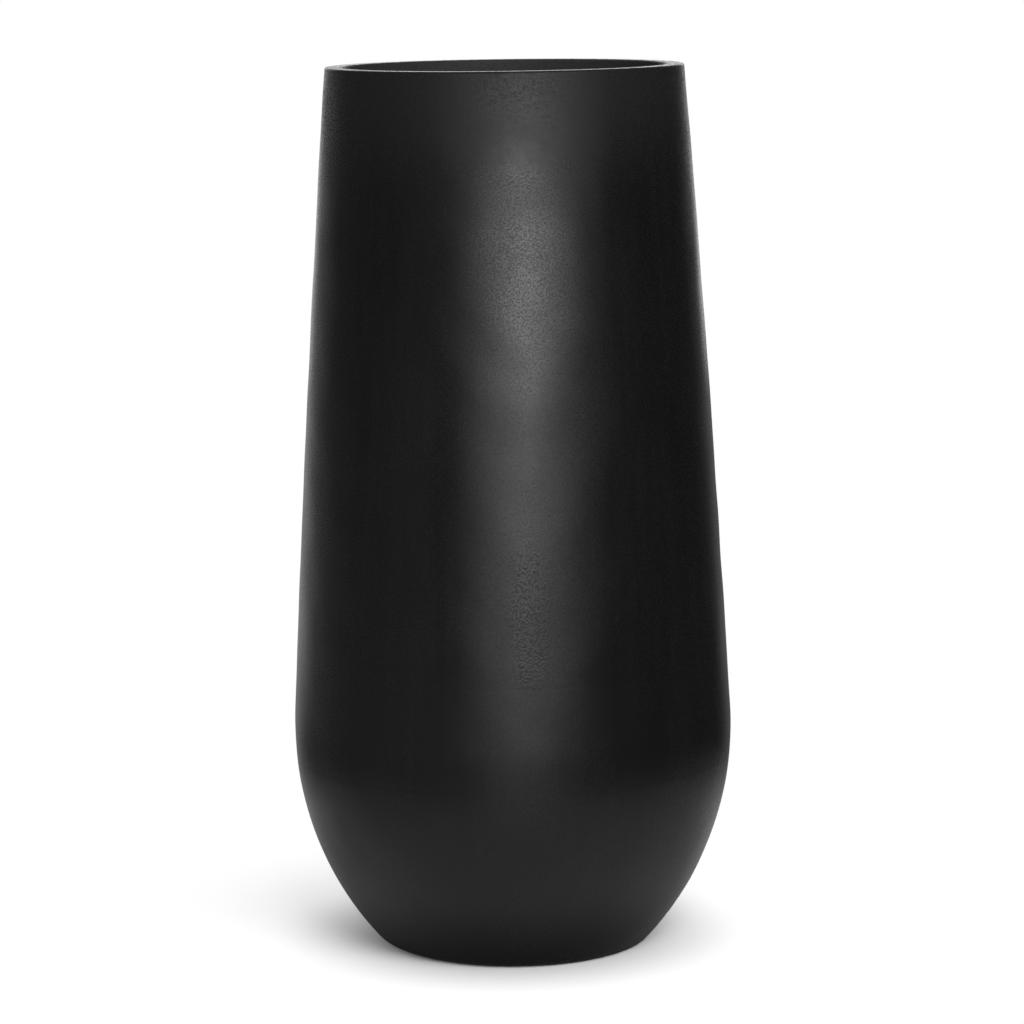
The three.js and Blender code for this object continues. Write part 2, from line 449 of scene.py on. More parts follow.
class Wiring:
    """Adds and links the nodes of one tree."""

    def __init__(self, tree: bpy.types.NodeTree) -> None:
        """Takes the tree that the nodes go into."""
        self.tree = tree

    def node(self, kind: str, inputs: dict | None = None, **settings: object) -> bpy.types.Node:
        """Adds a node.

        Args:
            kind: the node type without its ShaderNode prefix.
            inputs: for each named or numbered input, a socket to link or a value.
            **settings: the node's own properties.

        Returns:
            The node.
        """
        made = self.tree.nodes.new("ShaderNode" + kind)
        for name, value in settings.items():
            setattr(made, name, value)
        for name, value in (inputs or {}).items():
            self.feed(made.inputs[name], value)
        return made

    def feed(self, socket: Socket, value: object) -> None:
        """Links a socket to another, or sets its value; a colour may leave out its alpha."""
        if isinstance(value, Socket):
            self.tree.links.new(value, socket)
        elif socket.type == "RGBA" and len(value) == 3:
            socket.default_value = (*value, 1)
        else:
            socket.default_value = value

    def math(self, operation: str, *values: object, clamp: bool = False) -> Socket:
        """A Math node's result."""
        made = self.node("Math", dict(enumerate(values)), operation=operation, use_clamp=clamp)
        return made.outputs[0]

    def times(self, first: object, second: object) -> Socket:
        """The product of two values."""
        return self.math("MULTIPLY", first, second)

    def added(self, value: object, factor: object, base: object) -> Socket:
        """A base with a value times a factor added to it."""
        return self.math("MULTIPLY_ADD", value, factor, base)

    def vector(self, operation: str, *values: object) -> Socket:
        """A Vector Math node's vector."""
        made = self.node("VectorMath", dict(enumerate(values)), operation=operation)
        return made.outputs[0]

    def length(self, vector: object) -> Socket:
        """A vector's length."""
        return self.node("VectorMath", {0: vector}, operation="LENGTH").outputs["Value"]

    def dot(self, first: object, second: object) -> Socket:
        """The dot product of two vectors."""
        made = self.node("VectorMath", {0: first, 1: second}, operation="DOT_PRODUCT")
        return made.outputs["Value"]

    def scaled(self, colour: object, share: object) -> Socket:
        """A colour with all its parts multiplied by a share."""
        made = self.node("VectorMath", {0: colour, "Scale": share}, operation="SCALE")
        return made.outputs[0]

    def axes(self, place: object) -> bpy.types.NodeOutputs:
        """A place's X, Y and Z."""
        return self.node("SeparateXYZ", {0: place}).outputs

    def stretched(self, place: object, scale: tuple) -> Socket:
        """A place with its axes scaled, which draws a pattern on it out or flattens it."""
        return self.node("Mapping", {"Vector": place, "Scale": scale}).outputs[0]

    def ramp(self, value: object, low: float, high: float, to_low: float = 0.0,
             to_high: float = 1.0) -> Socket:
        """A smooth rise of a value from one range to another, held at both ends."""
        made = self.node("MapRange", {"Value": value, "From Min": low, "From Max": high,
                                      "To Min": to_low, "To Max": to_high},
                         interpolation_type="SMOOTHSTEP")
        return made.outputs["Result"]

    def between(self, share: object, first: object, second: object) -> Socket:
        """A number between two, by a share."""
        return self.node("Mix", {"Factor": share, "A": first, "B": second}).outputs[0]

    def blend(self, share: object, first: object, second: object) -> Socket:
        """A colour between two, by a share."""
        made = self.node("Mix", data_type="RGBA")
        self.feed(made.inputs["Factor"], share)
        self.feed(made.inputs[6], first)
        self.feed(made.inputs[7], second)
        return made.outputs[2]

    def noise(self, place: object, scale: object, detail: float = 2.0,
              roughness: float = 0.5) -> Socket:
        """Noise about 0.5."""
        made = self.node("TexNoise", {"Vector": place, "Scale": scale, "Detail": detail,
                                      "Roughness": roughness})
        return made.outputs["Fac"]

    def glow(self, strength: object) -> None:
        """Ends a material in a light of this strength."""
        light = self.node("Emission", {"Strength": strength})
        self.node("OutputMaterial", {"Surface": light.outputs[0]})


def bare_material(name: str) -> tuple[bpy.types.Material, Wiring]:
    """A material with an empty tree, and the wiring of that tree."""
    material = bpy.data.materials.new(name)
    material.use_nodes = True
    material.node_tree.nodes.clear()
    return material, Wiring(material.node_tree)


def new_group(name: str, inputs: dict[str, tuple[str, object]],
              outputs: list[str]) -> tuple[bpy.types.NodeTree, Wiring, dict, bpy.types.Node]:
    """Starts a shader node group.

    Args:
        name: the group's name.
        inputs: each input's socket type, Vector or Float, and its default.
        outputs: the names of its values.

    Returns:
        The tree, its wiring, its inputs by name, and its output node.
    """
    tree = bpy.data.node_groups.new(name, "ShaderNodeTree")
    for label, (kind, default) in inputs.items():
        socket = tree.interface.new_socket(label, in_out="INPUT",
                                           socket_type="NodeSocket" + kind)
        if kind == "Float":
            socket.default_value = default
    for label in outputs:
        tree.interface.new_socket(label, in_out="OUTPUT", socket_type="NodeSocketFloat")
    start = tree.nodes.new("NodeGroupInput")
    end = tree.nodes.new("NodeGroupOutput")
    return tree, Wiring(tree), {label: start.outputs[label] for label in inputs}, end


@dataclass
class Effects:
    """The surface effects that several finishes share, one node group each."""

    pebbles: bpy.types.NodeTree = field(init=False)
    rubbing: bpy.types.NodeTree = field(init=False)
    strands: bpy.types.NodeTree = field(init=False)
    dust: bpy.types.NodeTree = field(init=False)

    def __post_init__(self) -> None:
        """Builds the groups."""
        self.pebbles = self.build_pebbles()
        self.rubbing = self.build_rubbing()
        self.strands = self.build_strands()
        self.dust = self.build_dust()

    def build_pebbles(self) -> bpy.types.NodeTree:
        """Orange-peel grain: round bumps of one size with finer noise on them."""
        crest, pit, finer_by, softness = 0.15, 0.75, 1.9, 0.6
        tree, wires, given, end = new_group(
            "pebbled_grain",
            {"Place": ("Vector", None), "Size": ("Float", 2 * MM), "Finer": ("Float", 0.35)},
            ["Height"])
        scale = wires.math("DIVIDE", 1.0, given["Size"])
        cells = wires.node("TexVoronoi", {"Vector": given["Place"], "Scale": scale,
                                          "Smoothness": softness}, feature="SMOOTH_F1")
        bump = wires.ramp(cells.outputs["Distance"], crest, pit, 1.0, 0.0)
        fine = wires.noise(given["Place"], wires.times(scale, finer_by))
        wires.feed(end.inputs["Height"], wires.added(fine, given["Finer"], bump))
        return tree

    def build_rubbing(self) -> bpy.types.NodeTree:
        """Where wax was rubbed more: soft patches drawn out upwards, and fine streaks."""
        patch_stretch, patch_over = 0.45, (0.34, 0.68)
        streak_stretch, streak_over, streaks_in_patch = 0.05, (0.35, 0.7), 9.0
        tree, wires, given, end = new_group(
            "wax_rubbing", {"Place": ("Vector", None), "Patch": ("Float", 90 * MM)},
            ["Patches", "Streaks"])
        scale = wires.math("DIVIDE", 1.0, given["Patch"])
        patches = wires.noise(wires.stretched(given["Place"], (1, 1, patch_stretch)), scale,
                              detail=3.0, roughness=0.55)
        wires.feed(end.inputs["Patches"], wires.ramp(patches, *patch_over))
        streaks = wires.noise(wires.stretched(given["Place"], (1, 1, streak_stretch)),
                              wires.times(scale, streaks_in_patch), detail=3.0, roughness=0.6)
        wires.feed(end.inputs["Streaks"], wires.ramp(streaks, *streak_over))
        return tree

    def build_strands(self) -> bpy.types.NodeTree:
        """Chopped glass strands: thin drawn-out noise at four angles, the highest on top."""
        angles, apart = (12.0, 57.0, 103.0, 149.0), (0.37, 0.11)
        thin, strand_over = 0.05, (0.52, 0.72)
        tree, wires, given, end = new_group(
            "chopped_strands", {"Place": ("Vector", None), "Thickness": ("Float", 1.6 * MM)},
            ["Height"])
        scale = wires.math("DIVIDE", 1.0, given["Thickness"])
        height = None
        for number, degrees in enumerate(angles):
            laid = wires.node("Mapping", {
                "Vector": given["Place"],
                "Location": (apart[0] * number, apart[1] * number, 0),
                "Rotation": (0, 0, math.radians(degrees))}).outputs[0]
            lines = wires.noise(wires.stretched(laid, (thin, 1, 1)), scale, detail=1.0)
            lines = wires.ramp(lines, *strand_over)
            height = lines if height is None else wires.math("MAXIMUM", height, lines)
        wires.feed(end.inputs["Height"], height)
        return tree

    def build_dust(self) -> bpy.types.NodeTree:
        """Dust and scuffs that gather below a height, broken up by noise."""
        spot_over = (0.45, 0.66)
        tree, wires, given, end = new_group(
            "low_scuffs", {"Place": ("Vector", None), "Below": ("Float", 8 * MM),
                           "Size": ("Float", 5 * MM)}, ["Mask"])
        level = wires.math("DIVIDE", wires.axes(given["Place"])["Z"], given["Below"])
        near = wires.math("SUBTRACT", 1.0, level, clamp=True)
        spots = wires.noise(given["Place"], wires.math("DIVIDE", 1.0, given["Size"]),
                            detail=4.0, roughness=0.65)
        wires.feed(end.inputs["Mask"], wires.times(near, wires.ramp(spots, *spot_over)))
        return tree


class Surface:
    """One material with its Principled shader and the places that its patterns read."""

    def __init__(self, name: str, colour: tuple, roughness: float, specular: float) -> None:
        """Starts a material.

        Args:
            name: the material's name.
            colour: base colour, linear, before any pattern.
            roughness: roughness before any pattern.
            specular: specular level, the same all over.
        """
        self.material = bpy.data.materials.new(name)
        self.material.use_nodes = True
        self.material.diffuse_color = (*colour, 1)
        self.wires = Wiring(self.material.node_tree)
        self.shader = self.material.node_tree.nodes["Principled BSDF"]
        self.shader.inputs["Specular IOR Level"].default_value = specular
        self.dress(colour, roughness)
        self.place = self.wires.node("TexCoord").outputs["Object"]
        self.wall = self.wires.node("UVMap", uv_map=WALL_UV).outputs["UV"]

    def dress(self, colour: object, roughness: object) -> None:
        """Feeds the shader's colour and roughness, each a value or a pattern."""
        self.wires.feed(self.shader.inputs["Base Color"], colour)
        self.wires.feed(self.shader.inputs["Roughness"], roughness)

    def effect(self, tree: bpy.types.NodeTree, inputs: dict) -> bpy.types.NodeOutputs:
        """Places a shared effect with its own values, and gives what it puts out."""
        return self.wires.node("Group", inputs, node_tree=tree).outputs

    def bump(self, layers: list[tuple[object, float]]) -> None:
        """Feeds the normal from heights of 0 to 1, each with its real depth in metres."""
        normal = None
        for height, depth in layers:
            made = self.wires.node("Bump", {"Strength": 1.0, "Distance": depth,
                                            "Height": height})
            if normal is not None:
                self.wires.feed(made.inputs["Normal"], normal)
            normal = made.outputs["Normal"]
        self.wires.feed(self.shader.inputs["Normal"], normal)


# ---------------------------------------------------------------- finishes


@dataclass(frozen=True)
class Finish:
    """What every finish has: a name, and the shader's values before any pattern."""

    name: str
    colour: tuple
    roughness: float
    specular: float

    def build(self, effects: Effects) -> bpy.types.Material:
        """Makes the material.

        Args:
            effects: the shared effects.

        Returns:
            The material.
        """
        surface = Surface(self.name, self.colour, self.roughness, self.specular)
        self.pattern(surface, surface.wires, surface.place, effects)
        return surface.material

    def pattern(self, surface: Surface, wires: Wiring, place: Socket,
                effects: Effects) -> None:
        """Feeds the surface's shader; each finish has its own."""
        raise NotImplementedError


@dataclass(frozen=True)
class WaxedBlack(Finish):
    """The outside: black gel coat, pebbled, rubbed down and waxed to a soft sheen.

    The pebbled skin is rubbed smoother below a wandering line, and a painted highlight runs
    along that line on the front, where a coarser patch ends on it. The skin is handled near the
    lip, where its lighter colour is partly wear and partly painted sheen, and the lip's inner
    flange isn't waxed at all; its lighter grey there is painted light.
    """

    name: str = "waxed_black_gelcoat"
    colour: tuple = (0.0045, 0.0045, 0.0047)
    roughness: float = 0.25
    specular: float = 0.25
    # Wax patches and streaks, and scuffs at the foot.
    rubbing: float = 110 * MM
    worn_colour: tuple = (0.010, 0.010, 0.0104)
    worn_share: float = 0.16
    roughness_swing: float = 0.05
    scuffs_below: float = 7 * MM
    scuff_size: float = 6 * MM
    scuff_colour: tuple = (0.06, 0.058, 0.055)
    scuff_share: float = 0.6
    scuff_roughness: float = 0.2
    # The grain.
    pebble: float = 1.75 * MM
    pebble_depth: float = 0.03 * MM
    heights: tuple = (0.1, 1.1)
    mean_height: float = 0.65
    pit_roughness: float = 0.13
    pit_shade: float = 0.91
    crest_shade: float = 1.09
    grain_from: float = 250 * MM
    grain_to: float = 500 * MM
    least_grain: float = 0.4
    # The coarser patch on the front.
    coarse_pebble: float = 2.5 * MM
    coarse_finer: float = 0.6
    coarse_depth: float = 0.08 * MM
    coarse_roughness: float = 0.42
    patch_centre: tuple = (21 * MM, -236 * MM, 412 * MM)
    patch_reach: tuple = (21 * MM, 40 * MM, 88 * MM)
    patch_edge: tuple = (1.1, 1.7)
    patch_ragged: float = 0.8
    ragged_scale: float = 60.0
    # Unevenness of the wall, finer than the mesh.
    uneven: float = 24 * MM
    uneven_depth: float = 0.13 * MM
    fluted: float = 38 * MM
    fluted_stretch: float = 0.2
    fluted_depth: float = 0.16 * MM
    # The line that the skin is rubbed down to.
    rubbed_height: float = 334 * MM
    rubbed_wander: float = 9 * MM
    wander_scale: float = 14.0
    rubbed_edge: float = 4 * MM
    rubbed_grain: float = 0.5
    rubbed_dulling: float = 0.015
    # The painted highlight along the rubbed line, strongest under the patch.
    painted_highlight_width: float = 3.5 * MM
    painted_highlight_colour: tuple = (0.0105, 0.0105, 0.0105)
    painted_highlight_near: float = 25 * MM
    painted_highlight_far: float = 85 * MM
    painted_highlight_least: float = 0.05
    # Handling near the lip, whose lighter colour is partly wear and partly painted sheen, and
    # the unwaxed flange, whose lighter grey is painted light.
    handled_from: float = 850 * MM
    handled_to: float = 990 * MM
    handled_dulling: float = 0.12
    handled_grain: float = 2.4
    # The band's lighter colour: partly wear, partly painted sheen.
    handled_wear_and_sheen_colour: tuple = (0.0098, 0.0098, 0.01)
    # Painted light: the flange's lighter grey.
    flange_painted_light_colour: tuple = (0.028, 0.028, 0.028)
    unwaxed_within: float = 183.5 * MM
    unwaxed_fade: float = 2 * MM
    unwaxed_above: tuple = (900 * MM, 920 * MM)
    unwaxed_roughness: float = 0.15

    def pattern(self, surface: Surface, wires: Wiring, place: Socket,
                effects: Effects) -> None:
        """Feeds colour, roughness and relief from the masks and the two grains."""
        upright = wires.axes(place)["Z"]
        rubbing = surface.effect(effects.rubbing, {"Place": place, "Patch": self.rubbing})
        scuffs = surface.effect(effects.dust, {"Place": place, "Below": self.scuffs_below,
                                               "Size": self.scuff_size})["Mask"]
        fine = surface.effect(effects.pebbles, {"Place": place, "Size": self.pebble})["Height"]
        coarse = surface.effect(effects.pebbles, {
            "Place": place, "Size": self.coarse_pebble, "Finer": self.coarse_finer})["Height"]
        handled = wires.ramp(upright, self.handled_from, self.handled_to)
        unwaxed = self.unwaxed(wires, place, upright)
        wander = wires.math("SUBTRACT", wires.noise(place, self.wander_scale, detail=3.0), 0.5)
        level = wires.added(wander, self.rubbed_wander,
                            wires.math("SUBTRACT", upright, self.rubbed_height))
        from_patch = wires.vector("SUBTRACT", place, self.patch_centre)

        worn = wires.times(wires.math("ADD", rubbing["Patches"], rubbing["Streaks"]),
                           self.worn_share)
        colour = wires.blend(worn, self.colour, self.worn_colour)
        # The lighter band near the lip is partly wear and partly painted sheen.
        colour = wires.blend(handled, colour, self.handled_wear_and_sheen_colour)
        colour = wires.blend(wires.times(scuffs, self.scuff_share), colour, self.scuff_colour)
        # The flange's lighter grey is painted light; its roughness below is the unwaxed finish.
        colour = wires.blend(unwaxed, colour, self.flange_painted_light_colour)
        # A painted highlight along the rubbed line.
        colour = wires.blend(self.painted_highlight_line(wires, level, from_patch), colour, self.painted_highlight_colour)
        shade = wires.ramp(fine, *self.heights, self.pit_shade, self.crest_shade)

        grained = wires.times(
            wires.ramp(level, 0.0, self.rubbed_edge, self.rubbed_grain, 1.0),
            wires.ramp(upright, self.grain_from, self.grain_to, self.least_grain, 1.0))
        patch = self.patch(wires, place, level, from_patch)
        rough = wires.added(rubbing["Patches"], self.roughness_swing,
                            self.roughness - self.roughness_swing / 2)
        rubbed = wires.ramp(level, 0.0, self.rubbed_edge, 1.0, 0.0)
        for mask, swing in ((scuffs, self.scuff_roughness), (handled, self.handled_dulling),
                            (unwaxed, self.unwaxed_roughness),
                            (rubbed, self.rubbed_dulling)):
            rough = wires.added(mask, swing, rough)
        stronger = wires.times(grained, wires.added(handled, self.handled_grain, 1.0))
        for height, mask, swing in ((fine, stronger, self.pit_roughness),
                                    (coarse, patch, self.coarse_roughness)):
            pits = wires.times(wires.math("SUBTRACT", self.mean_height, height), mask)
            rough = wires.added(pits, swing, rough)
        surface.dress(wires.scaled(colour, shade), rough)

        uneven = wires.noise(place, 1 / self.uneven, detail=1.0)
        fluted = wires.noise(wires.stretched(place, (1, 1, self.fluted_stretch)),
                             1 / self.fluted, detail=1.0)
        surface.bump([(fluted, self.fluted_depth), (uneven, self.uneven_depth),
                      (wires.times(grained, fine), self.pebble_depth),
                      (wires.times(patch, coarse), self.coarse_depth)])

    def unwaxed(self, wires: Wiring, place: object, upright: object) -> Socket:
        """1 on the lip's inner flange, 0 elsewhere."""
        reach = wires.length(wires.stretched(place, (1, 1, 0)))
        within = wires.ramp(reach, self.unwaxed_within - self.unwaxed_fade,
                            self.unwaxed_within, 1.0, 0.0)
        return wires.times(within, wires.ramp(upright, *self.unwaxed_above))

    def painted_highlight_line(self, wires: Wiring, level: object, from_patch: object) -> Socket:
        """The painted highlight line: 1 on it under the patch, and fainter to both sides."""
        line = wires.ramp(wires.math("ABSOLUTE", level), 0.0, self.painted_highlight_width / 2, 1.0, 0.0)
        aside = wires.length(wires.vector("MULTIPLY", from_patch, (1, 1, 0)))
        return wires.times(line, wires.ramp(aside, self.painted_highlight_near, self.painted_highlight_far, 1.0,
                                            self.painted_highlight_least))

    def patch(self, wires: Wiring, place: object, level: object,
              from_patch: object) -> Socket:
        """The coarser patch: 1 in a ragged ellipsoid above the rubbed line."""
        off = wires.length(wires.vector("DIVIDE", from_patch, self.patch_reach))
        ragged = wires.noise(place, self.ragged_scale, detail=3.0)
        off = wires.added(ragged, self.patch_ragged, off)
        inside = wires.ramp(off, *self.patch_edge, 1.0, 0.0)
        return wires.times(inside, wires.ramp(level, 0.0, self.rubbed_edge))


@dataclass(frozen=True)
class BareLaminate(Finish):
    """The inside and the recess underneath: pigmented resin over chopped glass strands."""

    name: str = "bare_laminate"
    colour: tuple = (0.0075, 0.0075, 0.0077)
    dry_colour: tuple = (0.021, 0.021, 0.0205)
    dry_share: float = 0.8
    roughness: float = 0.52
    dry_roughness: float = 0.06
    pool_polish: float = 0.16
    specular: float = 0.3
    strand: float = 1.7 * MM
    strand_depth: float = 0.22 * MM
    pool: float = 45 * MM
    pool_over: tuple = (0.4, 0.62)
    pool_depth: float = 0.5
    lump: float = 6 * MM
    lump_depth: float = 0.05 * MM

    def pattern(self, surface: Surface, wires: Wiring, place: Socket,
                effects: Effects) -> None:
        """Strands stand up where no pool of resin covers them."""
        strands = surface.effect(effects.strands, {"Place": surface.wall,
                                                   "Thickness": self.strand})["Height"]
        pools = wires.ramp(wires.noise(place, 1 / self.pool, detail=3.0), *self.pool_over)
        dry = wires.times(strands, wires.math("SUBTRACT", 1.0, pools))
        surface.dress(
            wires.blend(wires.times(dry, self.dry_share), self.colour, self.dry_colour),
            wires.added(pools, -self.pool_polish, self.roughness + self.dry_roughness))
        lumps = surface.effect(effects.pebbles, {"Place": place,
                                                 "Size": self.lump})["Height"]
        surface.bump([(wires.added(pools, -self.pool_depth, strands), self.strand_depth),
                      (lumps, self.lump_depth)])


@dataclass(frozen=True)
class Foam(Finish):
    """The rigid foam of the lip's core, cut to shape, with its cells open."""

    name: str = "rigid_foam"
    colour: tuple = (0.42, 0.37, 0.26)
    # Painted shade in the cells' pits.
    cell_shade_colour: tuple = (0.24, 0.2, 0.13)
    roughness: float = 0.9
    specular: float = 0.2
    cell: float = 1.4 * MM
    cell_finer: float = 0.3
    cell_shade_over: tuple = (0.2, 0.9)
    cell_depth: float = 0.5 * MM

    def pattern(self, surface: Surface, wires: Wiring, place: Socket,
                effects: Effects) -> None:
        """Open cells, with painted shade in their pits."""
        cells = surface.effect(effects.pebbles, {"Place": place, "Size": self.cell,
                                                 "Finer": self.cell_finer})["Height"]
        cell_shade = wires.ramp(cells, *self.cell_shade_over)
        surface.dress(wires.blend(cell_shade, self.colour, self.cell_shade_colour), self.roughness)
        highest = 1 + self.cell_finer
        surface.bump([(wires.math("SUBTRACT", highest, cells), self.cell_depth)])


@dataclass(frozen=True)
class CoatedBoard(Finish):
    """The base board: brushed with black resin that pooled and left its edges thin."""

    name: str = "coated_board"
    colour: tuple = (0.014, 0.0135, 0.0125)
    thin_colour: tuple = (0.055, 0.045, 0.033)
    roughness: float = 0.36
    thin_roughness: float = 0.3
    specular: float = 0.35
    brush_width: float = 3.5 * MM
    brush_turn: float = 0.5
    brush_stretch: float = 0.06
    brush_depth: float = 0.25 * MM
    thin_scale: float = 30.0
    thin_over: tuple = (0.5, 0.72)

    def pattern(self, surface: Surface, wires: Wiring, place: Socket,
                effects: Effects) -> None:
        """Brush strokes, and thin places where the board shows through."""
        drawn = wires.node("Mapping", {"Vector": place, "Rotation": (0, 0, self.brush_turn),
                                       "Scale": (self.brush_stretch, 1, 1)}).outputs[0]
        strokes = wires.noise(drawn, 1 / self.brush_width)
        thin = wires.noise(place, self.thin_scale, detail=4.0, roughness=0.6)
        thin = wires.ramp(thin, *self.thin_over)
        surface.dress(wires.blend(wires.times(thin, strokes), self.colour, self.thin_colour),
                      wires.added(thin, self.thin_roughness, self.roughness))
        surface.bump([(strokes, self.brush_depth)])


@dataclass(frozen=True)
class PlugRubber(Finish):
    """The drain plug's moulded rubber, with a matt bloom."""

    name: str = "plug_rubber"
    colour: tuple = (0.008, 0.008, 0.008)
    bloom_colour: tuple = (0.028, 0.028, 0.027)
    bloom_share: float = 0.7
    roughness: float = 0.5
    bloom_roughness: float = 0.2
    specular: float = 0.35
    bloom: float = 9 * MM
    bloom_over: tuple = (0.42, 0.7)
    grain: float = 0.7 * MM
    grain_depth: float = 0.03 * MM

    def pattern(self, surface: Surface, wires: Wiring, place: Socket,
                effects: Effects) -> None:
        """Blotches of bloom over a fine moulded grain."""
        bloom = wires.noise(place, 1 / self.bloom, detail=4.0, roughness=0.6)
        bloom = wires.ramp(bloom, *self.bloom_over)
        surface.dress(
            wires.blend(wires.times(bloom, self.bloom_share), self.colour, self.bloom_colour),
            wires.added(bloom, self.bloom_roughness, self.roughness))
        grain = surface.effect(effects.pebbles, {"Place": place, "Size": self.grain})["Height"]
        surface.bump([(grain, self.grain_depth)])


# ---------------------------------------------------------------- sub-assemblies


def seat(piece: bpy.types.Object, body: Body, nodes: tuple[str, ...],
         materials: list[bpy.types.Material]) -> None:
    """Puts a new piece on its body, in the place of its nodes, with its finishes.

    Args:
        piece: the piece.
        body: the body that it rides on.
        nodes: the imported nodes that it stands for.
        materials: its finishes, in the order of its faces' numbers.
    """
    for material in materials:
        piece.data.materials.append(material)
    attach(piece, body.value)
    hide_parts(*nodes)
    log.info("%s rides on %s, %d faces", piece.name, body.value, len(piece.data.polygons))


@dataclass
class Vessel:
    """The two mouldings, the band over their joint, the lip's core and the base board."""

    form: Form
    waves: HandWaves
    columns: int = 360
    spacing: float = 5.5 * MM
    inner_spacing: float = 12 * MM
    wall: float = 5 * MM
    gap: float = 0.3 * MM
    # The joint of the two mouldings.
    seam_height: float = 219 * MM
    seam_gap: float = 0.04 * MM
    seam_edge: float = 0.12 * MM
    seam_steps: int = 4
    lap: float = 14 * MM
    # The lip.
    lip_width: float = 20 * MM
    lip_thickness: float = 6 * MM
    lip_drop: float = 25 * MM
    lip_steps: int = 7
    flange: float = 4.5 * MM
    flange_edge: float = 1.2 * MM
    flange_draft: float = 0.9 * MM
    # The foot and the recess under the floor.
    foot_edge: float = 17.5 * MM
    foot_edge_swing: float = 10.5 * MM
    foot_steps: int = 12
    foot_inner: float = 121.5 * MM
    foot_inner_edge: float = 2 * MM
    foot_flat: float = 5 * MM
    recess: float = 3 * MM
    recess_corner: float = 3 * MM
    pocket_ceiling: float = 6 * MM
    pocket_radius: float = 27 * MM
    pocket_corner: float = 1.5 * MM
    pocket_edge: float = 0.8 * MM
    drain: float = 14 * MM
    floor_top: float = 11 * MM
    inner_corner: float = 26 * MM
    inner_steps: int = 8
    # The band.
    band_height: float = 110 * MM
    band_thickness: float = 3 * MM
    band_edge: float = 0.5 * MM
    band_feather: float = 12 * MM
    feather_steps: int = 8
    band_wander: float = 3.5 * MM
    wander_seed: int = 5
    wander_sines: int = 5
    wander_turns: tuple = (3, 40)
    # The board.
    board_thickness: float = 9 * MM
    board_margin: float = 5 * MM
    board_edge: float = 3 * MM
    board_under_edge: float = 0.5 * MM
    board_hole_bevel: float = 1 * MM
    board_hole_edges: tuple = (0.8 * MM, 0.4 * MM)

    def carried_round(self, name: str, outline: list[Stretch]) -> bpy.types.Object:
        """Carries a laminate's outline round the axis and gives it the hand waves."""
        radius, height, finish = rings(outline, self.columns)
        points = self.waves.moved(turned(radius, height))
        return build_piece(name, points, Ends.LOOP, finish)

    def upper_outline(self) -> list[Stretch]:
        """The body moulding: up the outside, over the lip, down the inside to the joint."""
        form, top = self.form, self.form.planter_height
        seam = self.seam_height + self.seam_gap
        outer = (form.mouth_radius - form.lip_edge, form.taper_end)
        inner_radius = form.mouth_radius - self.lip_width
        inner = (inner_radius + form.lip_edge, form.taper_end)
        back = inner_radius + self.flange
        under, low = top - self.lip_thickness, top - self.lip_drop
        hollow = form.height_for(np.array(under), np.array(self.wall))
        radius, height = rounded([
            (inner_radius, form.taper_end, 0),
            (inner_radius - self.flange_draft, low, self.flange_edge),
            (back, low, self.flange_edge),
            (back, under, self.flange_edge),
            (float(form.inside(hollow, self.wall)[0]), under, 0),
        ])
        hidden = height[:, 0] > low + self.flange_edge
        hidden &= radius[:, 0] > inner_radius + self.flange / 2
        groove = self.seam_height + self.lap + self.gap
        corner = arc((0, 0), self.seam_edge, -np.pi / 2, 0, self.seam_steps)
        base = form.inside(np.array(seam + self.seam_edge), self.seam_edge)
        depth = (self.wall - self.gap) / 2
        return [
            Stretch(base[0] + corner[0], base[1] + corner[1]),
            form.wall(seam + self.seam_edge, form.taper_end, 0, self.spacing),
            Stretch(*arc(outer, form.lip_edge, 0, np.pi / 2, self.lip_steps)),
            Stretch(*arc(inner, form.lip_edge, np.pi / 2, np.pi, self.lip_steps)),
            Stretch(radius[~hidden], height[~hidden]),
            Stretch(radius[hidden], height[hidden], Side.BARE),
            form.wall(hollow, groove, self.wall, self.inner_spacing, Side.BARE),
            form.wall(groove, seam, depth, self.lap / 4, Side.BARE),
        ]

    def foot_rounding(self) -> np.ndarray:
        """The foot's edge at each azimuth a: rounder on one side, mean - swing cos a."""
        return self.foot_edge - self.foot_edge_swing * np.cos(azimuths(self.columns))

    def lower_outline(self) -> list[Stretch]:
        """The bowl moulding: out along the underside, up the outside, down the inside."""
        form, edge = self.form, self.foot_rounding()
        height, centre, angle = form.floor_corner(0.0, 0.0, edge)
        under = rounded([
            (self.drain, self.pocket_ceiling, 0),
            (self.pocket_radius, self.pocket_ceiling, self.pocket_corner),
            (self.pocket_radius, self.recess, self.pocket_edge),
            (self.foot_inner - self.recess, self.recess, self.recess_corner),
            (self.foot_inner, 0, self.foot_inner_edge),
            (self.foot_inner + self.foot_flat, 0, 0),
        ])
        inner_height, inner_centre, inner_angle = form.floor_corner(
            self.floor_top, self.wall, np.array(self.inner_corner))
        tongue = self.seam_height + self.lap
        below = self.seam_height - self.seam_edge
        corner = arc((0, 0), self.seam_edge, 0, np.pi / 2, self.seam_steps)
        base = form.inside(np.array(below), self.seam_edge)
        depth = (self.wall + self.gap) / 2
        return [
            Stretch(*under, Side.BARE),
            Stretch(*arc(centre, edge, -np.pi / 2, angle, self.foot_steps)),
            form.wall(height, below, 0, self.spacing),
            Stretch(base[0] + corner[0], base[1] + corner[1]),
            form.wall(self.seam_height, tongue, depth, self.lap / 4, Side.BARE),
            form.wall(tongue, inner_height, self.wall, self.inner_spacing, Side.BARE),
            Stretch(*arc(inner_centre, self.inner_corner, inner_angle, -np.pi / 2,
                         self.inner_steps), Side.BARE),
            Stretch(column([self.drain]), column([self.floor_top]), Side.BARE),
        ]

